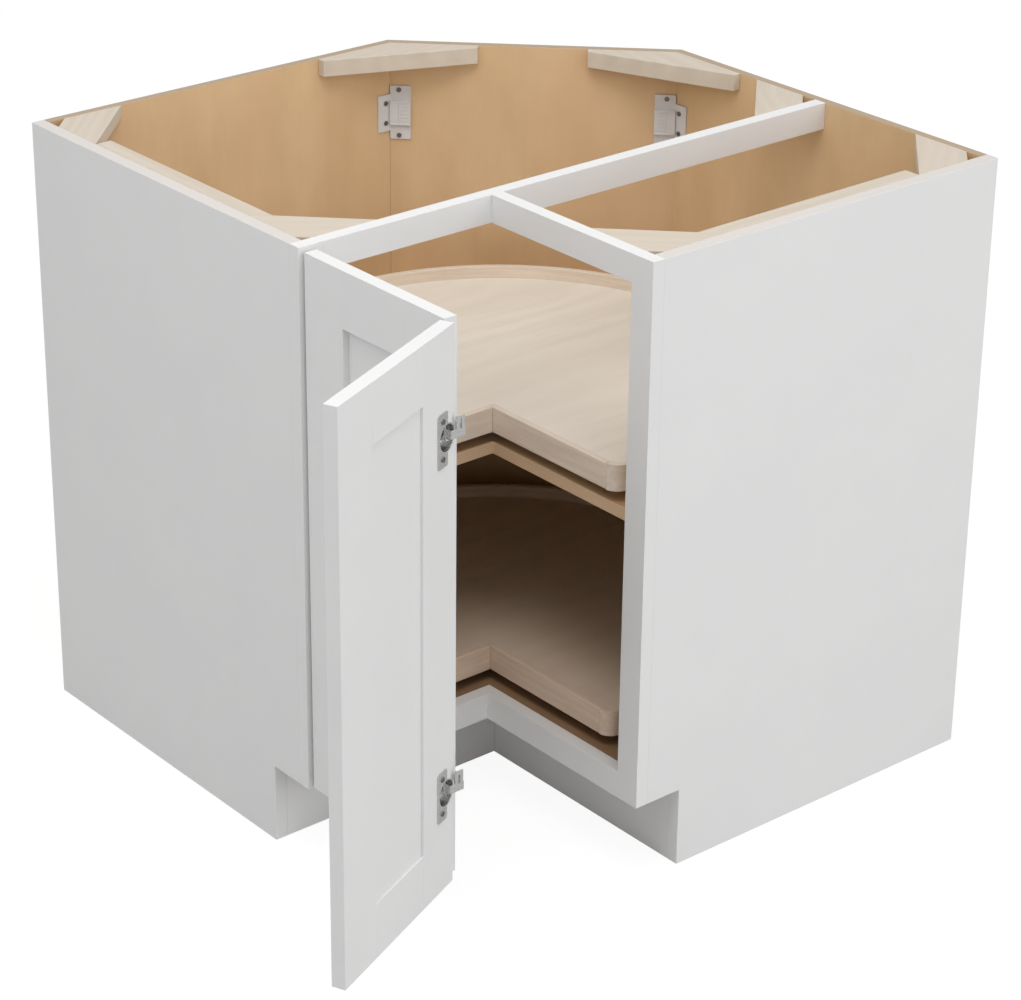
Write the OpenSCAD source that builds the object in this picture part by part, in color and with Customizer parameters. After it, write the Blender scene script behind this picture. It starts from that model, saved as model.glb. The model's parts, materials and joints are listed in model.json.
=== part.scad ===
// Corner base cabinet for a kitchen: an L-shaped box with a cut-off back corner, a face frame on
// both legs, two pie-cut carousel trays and one door of two leaves that fold against each other.
//
// Lengths are in millimetres. The modules draw in plan coordinates: X and Y run along the two
// walls from the missing front corner of the square footprint, and Z is up from the floor. The
// left leg's face frame looks along -Y and the right leg's along -X, so every right-hand piece is
// its left-hand twin mirrored across the line X = Y. placed() then moves the finished pieces to
// the part's own origin: the back left corner on the floor, where the left side meets the wall.
// The door is drawn closed and then swung and folded to the half open rest position.

/* [Carcass] */
// Height to the top edge, without a worktop
carcass_h = 876.3; // [850:0.1:920]
// Depth of each leg, from the wall to the front of the face frame
leg_depth = 609.6; // [590:0.1:625]
// Length of each leg's front, from the cabinet's side to the inner corner
leg_front = 304.8; // [290:0.1:350]
// Thickness of the side panels
panel_t = 19.05; // [16:0.05:21]
// Thickness of the back panels
back_t = 12.7; // [12:0.05:19.05]
// Thickness of the cabinet floor
floor_t = 19.05; // [16:0.05:22]
// Depth of the grooves that hold the floor and the shelf
dado_depth = 6.35; // [4:0.05:9]
// Depth of the toe space
toe_depth = 76.2; // [60:0.1:90]
// Height of the toe space
toe_h = 114.3; // [95:0.1:130]
// Thickness of the toe boards
toe_board_t = 18; // [12:0.5:22]

/* [Face frame] */
// Thickness of the face frame
frame_t = 19.05; // [18:0.05:22]
// Width of the stiles
stile_w = 38.1; // [34:0.1:42]
// Height of the top rails and the stretcher
top_rail_h = 38.1; // [30:0.1:50]
// Height of the bottom rails
bottom_rail_h = 38.1; // [36:0.1:60]

/* [Top bracing] */
// Thickness of the other corner blocks and the cleats
block_t = 19.05; // [15:0.05:22]
// Length of a corner block along each panel
block_leg = 117; // [90:1:140]
// Cut that keeps a front block clear of the glue in its corner
front_block_tip = 16; // [8:1:24]
// The same cut on the other corner blocks
block_tip = 25; // [15:1:35]
// Gap between a diagonal block and the block behind the stretcher
block_gap = 33.5; // [20:0.5:50]
// Blunt ends of a diagonal block
diagonal_blunt = 12; // [6:1:18]
// Thickness of a diagonal block
diagonal_block_t = 24.5; // [18:0.5:27]
// Width of the top cleats
cleat_w = 24; // [16:1:30]

/* [Joint brackets] */
// Distance from the cabinet's top to a bracket's middle
bracket_drop = 106; // [80:1:160]
// Width of the wing on the straight back
bracket_wing_a = 24; // [20:1:30]
// Height of the wing on the straight back
bracket_h_a = 56; // [44:1:60]
// Width of the wing on the diagonal back
bracket_wing_b = 31; // [25:1:36]
// Height of the wing on the diagonal back
bracket_h_b = 82; // [74:1:90]
// Thickness of a bracket's wings
bracket_t = 3; // [2:0.1:4]
// Thickness of the raised middle
bracket_boss_t = 8; // [5:0.1:10]
// Height of the raised middle
bracket_boss_h = 38; // [30:1:42]

/* [Shelf] */
// Height of the fixed shelf's top
shelf_top = 510.5; // [480:0.1:540]
// Thickness of the fixed shelf
shelf_t = 18; // [15:0.1:22]
// Set-back of the shelf's front edges behind the face frame
shelf_setback = 15; // [5:0.5:25]

/* [Carousel] */
// Gap between a tray and the side panels
tray_side_gap = 56.5; // [50:0.1:70]
// Gap between a tray and the diagonal back
tray_back_gap = 69.7; // [60:0.1:85]
// Gap between a tray's pie cut and the face frame
tray_front_gap = 9.2; // [5:0.1:14]
// Thickness of a tray's board
tray_board_t = 19; // [14:0.5:22]
// Thickness of a tray's rim
rim_t = 9.5; // [7:0.1:12]
// Height of a tray's rim
rim_h = 37; // [30:0.5:60]
// Radius of the rounded corners where a tray's rim turns into the pie cut
tray_corner_r = 20; // [14:0.5:35]
// Height of the bearing under a tray
bearing_h = 16.5; // [13:0.1:20]
// Distance from the pie cut's corner to a bearing's plates
bearing_gap = 34; // [25:0.5:50]
// Width of a bearing's plates, from the hole to the rim
bearing_w = 60; // [50:1:70]
// Thickness of a bearing's plates
bearing_plate_t = 2; // [1.5:0.1:2.5]
// Radius of a ball
ball_r = 3; // [2.5:0.1:3.4]
// Balls in a bearing
ball_count = 24; // [12:1:36]
// Width of a ball race
race_w = 16; // [12:0.5:18]

/* [Door] */
// Thickness of a door leaf
leaf_t = 19.05; // [18.5:0.05:21]
// Gap between the closed door and the face frame
door_gap = 3.2; // [3:0.1:4]
// Set-back of the closed door from the cabinet's sides
door_reveal = 9.5; // [8:0.1:14]
// Gap between the closed leaves at the fold
fold_gap = 0.75; // [0.5:0.05:2]
// Height of the door's lower edge above the toe space
door_lift = 3.2; // [2:0.1:20]
// Drop of the door's upper edge below the cabinet's top
door_drop = 6.3; // [4:0.1:20]
// Width of the stiles and rails of a leaf
leaf_frame_w = 76.2; // [65:0.1:85]
// Thickness of a leaf's panel
leaf_panel_t = 6.35; // [5:0.05:7]
// Recess of the panel on the outer side
front_recess = 9; // [7:0.1:10]
// Depth of the groove round the panel
leaf_groove = 10; // [7:0.1:12]
// Room for the panel to swell in its groove
panel_float = 0.9; // [0.4:0.1:0.9]
// Swing of the first leaf from closed to the rest position, in degrees
rest_swing_angle = 90; // [0:1:105]
// Turn of the second leaf at the fold in that swing, in degrees
rest_fold_angle = 23.5; // [0:0.5:24]

/* [Hinges] */
// Distance from a leaf's upper and lower edges to the middle of a hinge
hinge_inset = 137; // [110:1:180]
// Outer radius of a hinge cup
cup_r = 17.5; // [17:0.1:18]
// Wall of a hinge cup
cup_wall = 0.8; // [0.6:0.1:1]
// Depth of a hinge cup
cup_depth = 12.5; // [12:0.1:13]
// Distance from a leaf's end to the middle of a cup
cup_inset = 20.5; // [20:0.1:22]
// Distance from a leaf's end to the hinge pin
pin_end = 7; // [6.8:0.1:8]
// Depth of the hinge pin below the leaf's back
pin_depth = 8; // [7.8:0.1:8.1]
// Radius of a hinge pin
pin_r = 1; // [0.8:0.05:1.1]
// Radial running clearance of a hinge eye on its pin
pin_fit = 0.05; // [0.02:0.01:0.08]
// Outer radius of a hinge eye
eye_r = 2.2; // [2:0.1:2.4]
// Width of a hinge arm
arm_w = 11; // [9:0.5:12]
// Thickness of a hinge arm
arm_t = 1.8; // [1.5:0.1:2]
// Height of the plates that carry the arms
arm_plate_h = 40; // [34:1:50]
// Length of an arm plate on the face frame
arm_plate_l = 17; // [14:0.5:18]
// Length of an arm plate on a leaf
leaf_plate_l = 39; // [34:0.5:44]
// Reach of a fold arm behind the second leaf's back
fold_arm_reach = 4; // [3.8:0.1:6]
// Reach of a fold arm past its pin, to the elbow
fold_elbow = 21; // [16:0.1:22]
// Height of the upright web at a fold arm's elbow
web_h = 28; // [26:1:34]
// Length of the slot in that web
slot_l = 15; // [9:0.5:16]
// Width of the slot
slot_w = 3; // [2:0.1:4]
// Height of a cup's flange
flange_h = 70; // [64:1:78]
// Width of a cup's flange at the screws
flange_w = 24; // [20:0.5:26]
// Distance from a cup's middle to its screws, away from the leaf's end
flange_offset = 9.5; // [8:0.5:11]
// Thickness of a cup's flange
flange_t = 1.5; // [1.2:0.1:1.6]
// Rim of a cup's flange round the cup
flange_rim = 1; // [0.6:0.1:1.2]

/* [Screws] */
// Radius of a screw's shank
screw_r = 1.75; // [1.5:0.05:2]
// Length of a screw under its head
screw_l = 14; // [10:0.5:14.5]
// Radius of a screw's head
screw_head_r = 3.6; // [3.2:0.1:4]
// Height of a screw's head
screw_head_h = 1.2; // [1:0.1:1.3]

/* [Hidden] */
$fn = 96;

// Overlap of a cutting shape past the face that it opens
cut = 1;
// Radial room between a screw's shank and its hole
screw_fit = 0.05;
// Radial room between a cup and its bore
cup_fit = 0.1;
// Gap between a ball and its races
ball_gap = 0.3;
// Gap between the two races of a bearing
race_gap = 1.2;

// Planes of the plan: the face frame, the toe boards and the insides of the back panels
front = leg_front;
wall_side = leg_depth + leg_front;
frame_back = front + frame_t;
toe_face = front + toe_depth;
inside = wall_side - back_t;
cut_outside = wall_side - leg_depth / 2;
cut_inside = cut_outside - back_t * (sqrt(2) - 1);
floor_top = toe_h + bottom_rail_h;

// Length of a diagonal block along each panel
diagonal_leg = cut_inside - frame_back - block_leg - block_gap;

// Bracket's middle and its screws
bracket_z = carcass_h - bracket_drop;
bracket_screw_a = 10.7;
bracket_screw_b = 13.5;
bracket_rise_a = 15.2;
bracket_rise_b = 35;

// Carousel: the axis that both trays turn on, from the diagonal back's distance to the front
// corner, and the pie cut's planes and its corners' middles from that axis
back_reach = (cut_inside + inside) * sqrt(0.5);
tray_axis = (back_reach - tray_back_gap + tray_side_gap + panel_t) / (1 + sqrt(2));
tray_r = tray_axis - panel_t - tray_side_gap;
notch = tray_axis - frame_back - tray_front_gap;
corner_y = tray_corner_r - notch;
corner_x = -sqrt(pow(tray_r - tray_corner_r, 2) - pow(corner_y, 2));
bearing_r = notch * sqrt(2) - bearing_gap;
bearing_hole_r = bearing_r - bearing_w;
ball_ring_r = bearing_r - bearing_w / 2;
upper_bearing_z = shelf_top;
lower_bearing_z = floor_top;
bearing_screw_r = (ball_ring_r + race_w / 2 + bearing_r) / 2;
bearing_screw_count = 4;

// Closed door: the leaves' planes, ends and pins
leaf_back = front - door_gap;
leaf_front = leaf_back - leaf_t;
leaf_end = leaf_front - fold_gap;
leaf_z0 = toe_h + door_lift;
leaf_z1 = carcass_h - door_drop;
groove_y = leaf_front + front_recess;
opening_x0 = door_reveal + leaf_frame_w;
opening_x1 = leaf_end - leaf_frame_w;
opening_z0 = leaf_z0 + leaf_frame_w;
opening_z1 = leaf_z1 - leaf_frame_w;
hinge_zs = [leaf_z0 + hinge_inset, leaf_z1 - hinge_inset];
swing_pin = [door_reveal + pin_end, leaf_back - pin_depth];
fold_pin = [leaf_back - pin_depth, leaf_end - pin_end];
fold_arm_x = leaf_back + fold_arm_reach;
cup_screw_rise = 24;
cup_base_t = 1;
flange_corner_r = 4;
arm_screw_rise = 12;
strap_drop = 0.8;
web_clear = 7;
web_edge = 3;
leaf_plate_gap = 3;
leaf_plate_x1 = leaf_end - leaf_plate_gap;
leaf_plate_x0 = leaf_plate_x1 - leaf_plate_l;

// Paint and timber tones
white_paint = [0.86, 0.86, 0.85];
ply = [0.77, 0.63, 0.45];
pale_wood = [0.85, 0.78, 0.67];
tray_wood = [0.84, 0.77, 0.68];
nickel = [0.70, 0.70, 0.69];
grey_plastic = [0.80, 0.80, 0.80];

// ---- Placing -----------------------------------------------------------------------------

// Moves the plan's drawing to the part's own origin
module placed() translate([0, -wall_side, 0]) children();

// Left-hand piece to its right-hand twin
module right_hand() mirror([1, -1, 0]) children();

module both_hands() {
    children();
    right_hand() children();
}

// Turn about an upright axis through a point of the plan
module turned(at, angle) translate(at) rotate(angle) translate(-at) children();

// First leaf and second leaf, from the closed door to the rest position
module at_first_leaf() placed() turned(swing_pin, -rest_swing_angle) children();
module at_second_leaf() at_first_leaf() turned(fold_pin, rest_fold_angle) right_hand() children();

module at_upper_tray() placed() translate([tray_axis, tray_axis, upper_bearing_z]) children();
module at_lower_tray() placed() translate([tray_axis, tray_axis, lower_bearing_z]) children();

// Upright slab over a plan outline
module slab(z0, z1) translate([0, 0, z0]) linear_extrude(z1 - z0) children();

// Box between two corners
module box(lo, hi) translate(lo) cube(hi - lo);

// ---- Screws ------------------------------------------------------------------------------

// Pan-head screw that points along +Z, with the underside of its head at Z = 0
module screw() {
    slot_w = screw_head_r / 4;
    slot_l = screw_head_r * 1.2;
    cylinder(r = screw_r, h = screw_l, $fn = 24);
    difference() {
        translate([0, 0, -screw_head_h]) cylinder(r = screw_head_r, h = screw_head_h, $fn = 32);
        for (a = [0, 90]) rotate(a)
            translate([-slot_l / 2, -slot_w / 2, -screw_head_h - cut])
                cube([slot_l, slot_w, cut + screw_head_h / 2]);
    }
}

module screw_hole() {
    translate([0, 0, -cut])
        cylinder(r = screw_r + screw_fit, h = screw_l + cut + screw_fit, $fn = 24);
}

// ---- Carcass -----------------------------------------------------------------------------

// The room between the panels behind a front line, grown into the panels' grooves
module inside_outline(front_line, into) {
    near = panel_t - into;
    far = inside + into;
    corner = cut_inside + into * (sqrt(2) - 1);
    polygon([
        [near, front_line], [front_line, front_line], [front_line, near],
        [far, near], [far, corner], [corner, far], [near, far]
    ]);
}

module floor_blank() slab(floor_top - floor_t, floor_top) inside_outline(frame_back, dado_depth);

module shelf_blank()
    slab(shelf_top - shelf_t, shelf_top) inside_outline(frame_back + shelf_setback, dado_depth);

module end_panel() color(white_paint) difference() {
    rotate([90, 0, 90]) linear_extrude(panel_t) polygon([
        [frame_back, toe_h], [frame_back, carcass_h], [wall_side, carcass_h],
        [wall_side, 0], [toe_face, 0], [toe_face, toe_h]
    ]);
    floor_blank();
    shelf_blank();
}

module straight_back() color(ply) difference() {
    slab(0, carcass_h) polygon([
        [panel_t, wall_side], [cut_outside, wall_side],
        [cut_inside, inside], [panel_t, inside]
    ]);
    floor_blank();
    shelf_blank();
    at_bracket_screws() screw_hole();
}

module diagonal_back() color(ply) difference() {
    slab(0, carcass_h) polygon([
        [cut_outside, wall_side], [wall_side, cut_outside],
        [inside, cut_inside], [cut_inside, inside]
    ]);
    floor_blank();
    shelf_blank();
    at_bracket_screws() screw_hole();
    right_hand() at_bracket_screws() screw_hole();
}

module cabinet_floor() color(ply) difference() {
    floor_blank();
    translate([tray_axis, tray_axis, floor_top]) at_base_screws() screw_hole();
}

module fixed_shelf() color(ply) difference() {
    shelf_blank();
    translate([tray_axis, tray_axis, shelf_top]) at_base_screws() screw_hole();
}

module toe_board(x1)
    color(white_paint)
        box([panel_t, toe_face, 0], [x1, toe_face + toe_board_t, floor_top - floor_t]);

// ---- Face frame --------------------------------------------------------------------------

module stile() color(white_paint)
    box([0, front, toe_h], [stile_w, frame_back, carcass_h]);

module hinge_stile() color(white_paint) difference() {
    stile();
    at_frame_arm_screws() screw_hole();
}

module rail(x1, z0, z1) color(white_paint) box([stile_w, front, z0], [x1, frame_back, z1]);

module top_rail(x1) rail(x1, carcass_h - top_rail_h, carcass_h);

module bottom_rail(x1) rail(x1, toe_h, floor_top);

module top_stretcher() color(white_paint)
    box([frame_back, front, carcass_h - top_rail_h], [inside, frame_back, carcass_h]);

// ---- Top bracing -------------------------------------------------------------------------

// Block for a square corner at the origin, along +X and +Y
module corner_block(tip) color(pale_wood) slab(carcass_h - block_t, carcass_h)
    polygon([[tip, 0], [block_leg, 0], [0, block_leg], [0, tip]]);

module front_block() translate([panel_t, frame_back]) corner_block(front_block_tip);

module back_block() translate([panel_t, inside]) mirror([0, 1, 0]) corner_block(block_tip);

module stretcher_block()
    translate([inside, frame_back]) mirror([1, 0, 0]) corner_block(block_tip);

module diagonal_block() {
    step = sqrt(0.5);
    color(pale_wood) slab(carcass_h - diagonal_block_t, carcass_h)
        translate([cut_inside, inside]) polygon([
            [0, 0], [-diagonal_leg, 0], [-diagonal_leg, -diagonal_blunt],
            [(diagonal_leg - diagonal_blunt) * step, -(diagonal_leg + diagonal_blunt) * step],
            [diagonal_leg * step, -diagonal_leg * step]
        ]);
}

// Cleat along a side panel, from the back block to the front block's long side
module top_cleat() {
    near = frame_back + block_leg;
    far = inside - block_leg;
    color(pale_wood) slab(carcass_h - block_t, carcass_h) polygon([
        [panel_t, near], [panel_t + cleat_w, near - cleat_w], [panel_t + cleat_w, far],
        [panel_t, far]
    ]);
}

// ---- Joint brackets ----------------------------------------------------------------------

// From the upright edge where the straight and diagonal backs meet inside, along the diagonal
module on_diagonal() translate([cut_inside, inside, bracket_z]) rotate(-45) children();

module on_straight() translate([cut_inside, inside, bracket_z]) children();

module at_bracket_screws() for (side = [-1, 1]) {
    on_straight() translate([-bracket_screw_a, -bracket_t, side * bracket_rise_a])
        rotate([-90, 0, 0]) children();
    on_diagonal() translate([bracket_screw_b, -bracket_t, side * bracket_rise_b])
        rotate([-90, 0, 0]) children();
}

module joint_bracket() color(grey_plastic) difference() {
    union() {
        on_straight() box([-bracket_wing_a, -bracket_t, -bracket_h_a / 2],
                          [0, 0, bracket_h_a / 2]);
        on_diagonal() {
            box([0, -bracket_t, -bracket_h_b / 2], [bracket_wing_b, 0, bracket_h_b / 2]);
            box([0, -bracket_boss_t, -bracket_boss_h / 2],
                [bracket_wing_b, 0, bracket_boss_h / 2]);
        }
    }
    at_bracket_screws() screw_hole();
}

// ---- Carousel ----------------------------------------------------------------------------

// A bearing stands on Z = 0 and is symmetrical about half its height
module bearing_half() rotate_extrude($fn = 180) difference() {
    union() {
        translate([bearing_hole_r, 0])
            square([bearing_r - bearing_hole_r, bearing_plate_t]);
        translate([ball_ring_r - race_w / 2, 0])
            square([race_w, (bearing_h - race_gap) / 2]);
    }
    translate([ball_ring_r, bearing_h / 2]) circle(r = ball_r + ball_gap, $fn = 48);
}

module at_base_screws()
    for (i = [0 : bearing_screw_count - 1]) rotate(360 * i / bearing_screw_count)
        translate([bearing_screw_r, 0, bearing_plate_t]) rotate([180, 0, 0]) children();

module at_plate_screws()
    for (i = [0 : bearing_screw_count - 1]) rotate(360 * (i + 0.5) / bearing_screw_count)
        translate([bearing_screw_r, 0, bearing_h - bearing_plate_t]) children();

module bearing_base() color(nickel) difference() {
    bearing_half();
    at_base_screws() screw_hole();
}

module bearing_plate() color(nickel) difference() {
    translate([0, 0, bearing_h]) mirror([0, 0, 1]) bearing_half();
    at_plate_screws() screw_hole();
}

module bearing_ball_ring() color(nickel)
    for (i = [0 : ball_count - 1]) rotate(360 * (i + 0.5) / ball_count)
        translate([ball_ring_r, 0, bearing_h / 2]) sphere(r = ball_r, $fn = 32);

module bearing_balls() {
    at_upper_tray() bearing_ball_ring();
    at_lower_tray() bearing_ball_ring();
}

// What a rounded corner takes off a tray's plan, drawn in from the tray's edge
module corner_waste(inset) {
    past = (tray_r + cut) / (tray_r - tray_corner_r);
    difference() {
        polygon([
            [corner_x, corner_y], [corner_x, -notch - cut], [-tray_r, -notch - cut],
            [corner_x * past, corner_y * past]
        ]);
        translate([corner_x, corner_y]) circle(r = tray_corner_r - inset, $fn = 96);
    }
}

// A tray's plan, drawn in from its edge: a circle without the pie cut, with rounded corners
module tray_plan(inset) difference() {
    circle(r = tray_r - inset, $fn = 180);
    translate([-tray_r - cut, -tray_r - cut]) square(tray_r + cut - notch + inset);
    both_hands() corner_waste(inset);
}

module tray_board() color(tray_wood) difference() {
    slab(bearing_h, bearing_h + tray_board_t) tray_plan(rim_t);
    at_plate_screws() screw_hole();
}

// Rim round the tray that turns both corners and ends at the straight rims
module tray_arc_rim() color(tray_wood) difference() {
    slab(bearing_h, bearing_h + rim_h) tray_plan(0);
    slab(bearing_h - cut, bearing_h + rim_h + cut) tray_plan(rim_t);
    both_hands() box([corner_x, -notch - cut, bearing_h - cut], [0, 0, bearing_h + rim_h + cut]);
}

// Straight rim of the pie cut that faces the left leg, from the rounded corner to x1
module tray_notch_rim(x1) color(tray_wood)
    box([corner_x, -notch, bearing_h], [x1, rim_t - notch, bearing_h + rim_h]);

module left_notch_rim() tray_notch_rim(-notch);

module right_notch_rim() right_hand() tray_notch_rim(rim_t - notch);

module tray_screws() color(nickel) at_plate_screws() screw();

// ---- Door leaves -------------------------------------------------------------------------
// Both leaves are drawn as the left one, with the hinge end at the door's reveal and the fold
// end at the inner corner. The second leaf is that leaf mirrored.

module leaf_groove_cut(lo, hi)
    box([lo.x, groove_y, lo.y], [hi.x, groove_y + leaf_panel_t, hi.y]);

module leaf_outer_stile() color(white_paint) difference() {
    box([door_reveal, leaf_front, leaf_z0], [opening_x0, leaf_back, leaf_z1]);
    leaf_groove_cut([opening_x0 - leaf_groove, leaf_z0 - cut], [opening_x0 + cut, leaf_z1 + cut]);
}

module leaf_fold_stile() color(white_paint) difference() {
    box([opening_x1, leaf_front, leaf_z0], [leaf_end, leaf_back, leaf_z1]);
    leaf_groove_cut([opening_x1 - cut, leaf_z0 - cut], [opening_x1 + leaf_groove, leaf_z1 + cut]);
}

// Rail with stub tenons, drawn as the bottom one
module leaf_bottom_rail() color(white_paint) difference() {
    union() {
        box([opening_x0, leaf_front, leaf_z0], [opening_x1, leaf_back, opening_z0]);
        leaf_groove_cut([opening_x0 - leaf_groove, leaf_z0], [opening_x1 + leaf_groove, opening_z0]);
    }
    leaf_groove_cut([opening_x0 - leaf_groove - cut, opening_z0 - leaf_groove],
                    [opening_x1 + leaf_groove + cut, opening_z0 + cut]);
}

module leaf_top_rail()
    translate([0, 0, leaf_z0 + leaf_z1]) mirror([0, 0, 1]) leaf_bottom_rail();

module leaf_panel() {
    reach = leaf_groove - panel_float;
    color(white_paint) leaf_groove_cut([opening_x0 - reach, opening_z0 - reach],
                                       [opening_x1 + reach, opening_z1 + reach]);
}

// Bores and screw holes of a leaf's hinges
module first_hinge_stile() difference() {
    leaf_outer_stile();
    color(white_paint) {
        at_frame_cups() cup_bore();
        at_frame_cups() at_cup_screws() screw_hole();
    }
}

module first_fold_stile() difference() {
    leaf_fold_stile();
    color(white_paint) at_fold_arm_screws() screw_hole();
}

module second_fold_stile() difference() {
    leaf_fold_stile();
    color(white_paint) {
        at_fold_cups() cup_bore();
        at_fold_cups() at_cup_screws() screw_hole();
    }
}

// ---- Hinges ------------------------------------------------------------------------------
// A cup is drawn with its mouth at Z = 0 looking up, and +X away from the leaf's end.

module cup_bore() translate([0, 0, -cup_depth])
    cylinder(r = cup_r + cup_fit, h = cup_depth + cut, $fn = 64);

module at_cup_screws() for (side = [-1, 1])
    translate([flange_offset, side * cup_screw_rise, flange_t]) rotate([180, 0, 0]) children();

// Bar with round corners about its middle
module round_bar(w, h, r) {
    square([w - 2 * r, h], center = true);
    square([w, h - 2 * r], center = true);
    for (x = [-1, 1], y = [-1, 1])
        translate([x * (w / 2 - r), y * (h / 2 - r)]) circle(r = r, $fn = 32);
}

module hinge_cup() color(nickel) {
    bore_r = cup_r - cup_wall;
    pin_x = pin_end - cup_inset;
    pin_half = sqrt(pow(cup_r - cup_wall / 2, 2) - pow(pin_x, 2));
    difference() {
        union() {
            translate([0, 0, -cup_depth]) cylinder(r = cup_r, h = cup_depth + flange_t, $fn = 64);
            linear_extrude(flange_t) {
                circle(r = cup_r + flange_rim, $fn = 64);
                translate([flange_offset, 0]) round_bar(flange_w, flange_h, flange_corner_r);
            }
        }
        translate([0, 0, cup_base_t - cup_depth])
            cylinder(r = bore_r, h = cup_depth + flange_t, $fn = 64);
        at_cup_screws() screw_hole();
    }
    translate([pin_x, -pin_half, -pin_depth]) rotate([-90, 0, 0])
        cylinder(r = pin_r, h = 2 * pin_half, $fn = 32);
}

module at_frame_cups() for (z = hinge_zs)
    translate([door_reveal + cup_inset, leaf_back, z]) rotate([-90, 0, 0]) children();

// As in the first leaf's drawing; the second leaf's mirror puts it on the other leg
module at_fold_cups() for (z = hinge_zs)
    translate([leaf_end - cup_inset, leaf_back, z]) mirror([1, 0, 0]) rotate([-90, 0, 0])
        children();

module at_frame_arm_screws() for (z = hinge_zs, side = [-1, 1])
    translate([stile_w + arm_t, front + arm_plate_l / 2, z + side * arm_screw_rise])
        rotate([0, -90, 0]) children();

module at_fold_arm_screws() for (z = hinge_zs, side = [-1, 1])
    translate([(leaf_plate_x0 + leaf_plate_x1) / 2, leaf_back + arm_t, z + side * arm_screw_rise])
        rotate([90, 0, 0]) children();

// Arm on the face frame's stile: it reaches into the first leaf's cup, under the pin
module frame_arm() color(nickel) {
    strap_y = swing_pin.y - eye_r - strap_drop;
    difference() {
        linear_extrude(arm_w, center = true) {
            translate(swing_pin) circle(r = eye_r, $fn = 32);
            translate([swing_pin.x, strap_y]) square([stile_w + arm_t - swing_pin.x, arm_t]);
            translate([stile_w, strap_y]) square([arm_t, front + arm_t - strap_y]);
        }
        translate(swing_pin) cylinder(r = pin_r + pin_fit, h = arm_w + cut, center = true, $fn = 32);
    }
    box([stile_w, front, -arm_plate_h / 2], [stile_w + arm_t, front + arm_plate_l, arm_plate_h / 2]);
}

module frame_hinge_arms() difference() {
    for (z = hinge_zs) translate([0, 0, z]) frame_arm();
    color(nickel) at_frame_arm_screws() screw_hole();
}

// Arm on the first leaf's back: it reaches round the fold into the second leaf's cup
module fold_arm() color(nickel) {
    top_y = leaf_back + arm_t;
    elbow_y = fold_pin.y + fold_elbow;
    elbow_inner_y = elbow_y - arm_t / 2;
    difference() {
        linear_extrude(arm_w, center = true) {
            translate(fold_pin) circle(r = eye_r, $fn = 32);
            translate([fold_pin.x, fold_pin.y - arm_t / 2])
                square([fold_arm_x - fold_pin.x, arm_t]);
            polygon([
                [fold_arm_x - arm_t, fold_pin.y - arm_t / 2],
                [fold_arm_x, fold_pin.y - arm_t / 2], [fold_arm_x, elbow_y],
                [leaf_end + fold_gap, top_y], [leaf_plate_x1 - cut, top_y],
                [leaf_plate_x1 - cut, leaf_back], [leaf_end, leaf_back],
                [fold_arm_x - arm_t, elbow_inner_y]
            ]);
        }
        translate(fold_pin) cylinder(r = pin_r + pin_fit, h = arm_w + cut, center = true, $fn = 32);
    }
    box([leaf_plate_x0, leaf_back, -arm_plate_h / 2], [leaf_plate_x1, top_y, arm_plate_h / 2]);
    arm_web(fold_pin.y + web_clear, elbow_inner_y);
}

// Slotted upright web that stands on a fold arm, from y0 to y1
module arm_web(y0, y1) {
    top = web_h - arm_w / 2;
    slot_z = top - web_edge - slot_l;
    difference() {
        box([fold_arm_x - arm_t, y0, -arm_w / 2], [fold_arm_x, y1, top]);
        translate([fold_arm_x - arm_t - cut, (y0 + y1) / 2, slot_z]) {
            translate([0, -slot_w / 2, slot_w / 2]) cube([arm_t + 2 * cut, slot_w, slot_l - slot_w]);
            for (z = [slot_w / 2, slot_l - slot_w / 2]) translate([0, 0, z]) rotate([0, 90, 0])
                cylinder(r = slot_w / 2, h = arm_t + 2 * cut, $fn = 32);
        }
    }
}

module fold_hinge_arms() difference() {
    for (z = hinge_zs) translate([0, 0, z]) fold_arm();
    color(nickel) at_fold_arm_screws() screw_hole();
}

module carcass_screws() color(nickel) placed() {
    at_bracket_screws() screw();
    right_hand() at_bracket_screws() screw();
    at_frame_arm_screws() screw();
    for (z = [upper_bearing_z, lower_bearing_z])
        translate([tray_axis, tray_axis, z]) at_base_screws() screw();
}

module first_leaf_screws() color(nickel) at_first_leaf() {
    at_frame_cups() at_cup_screws() screw();
    at_fold_arm_screws() screw();
}

module second_leaf_screws() color(nickel) at_second_leaf()
    at_fold_cups() at_cup_screws() screw();

// ---- Carcass nodes -----------------------------------------------------------------------

placed() end_panel();  // left_end_panel
placed() right_hand() end_panel();  // right_end_panel
placed() straight_back();  // left_back_panel
placed() right_hand() straight_back();  // right_back_panel
placed() diagonal_back();  // diagonal_back_panel
placed() cabinet_floor();
placed() fixed_shelf();
placed() hinge_stile();  // left_stile
placed() right_hand() stile();  // right_stile
placed() top_rail(frame_back);  // left_top_rail
placed() right_hand() top_rail(front);  // right_top_rail
placed() top_stretcher();
placed() bottom_rail(frame_back);  // left_bottom_rail
placed() right_hand() bottom_rail(front);  // right_bottom_rail
placed() toe_board(toe_face + toe_board_t);  // left_toe_board
placed() right_hand() toe_board(toe_face);  // right_toe_board
placed() top_cleat();  // left_top_cleat
placed() right_hand() top_cleat();  // right_top_cleat
placed() front_block();  // front_left_block
placed() right_hand() front_block();  // front_right_block
placed() back_block();  // back_left_block
placed() right_hand() back_block();  // back_right_block
placed() stretcher_block();
placed() diagonal_block();  // left_diagonal_block
placed() right_hand() diagonal_block();  // right_diagonal_block
placed() joint_bracket();  // left_joint_bracket
placed() right_hand() joint_bracket();  // right_joint_bracket
carcass_screws();
at_upper_tray() bearing_base();  // upper_bearing_base
at_lower_tray() bearing_base();  // lower_bearing_base
bearing_balls();
placed() frame_hinge_arms();

// ---- Tray nodes --------------------------------------------------------------------------

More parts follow.
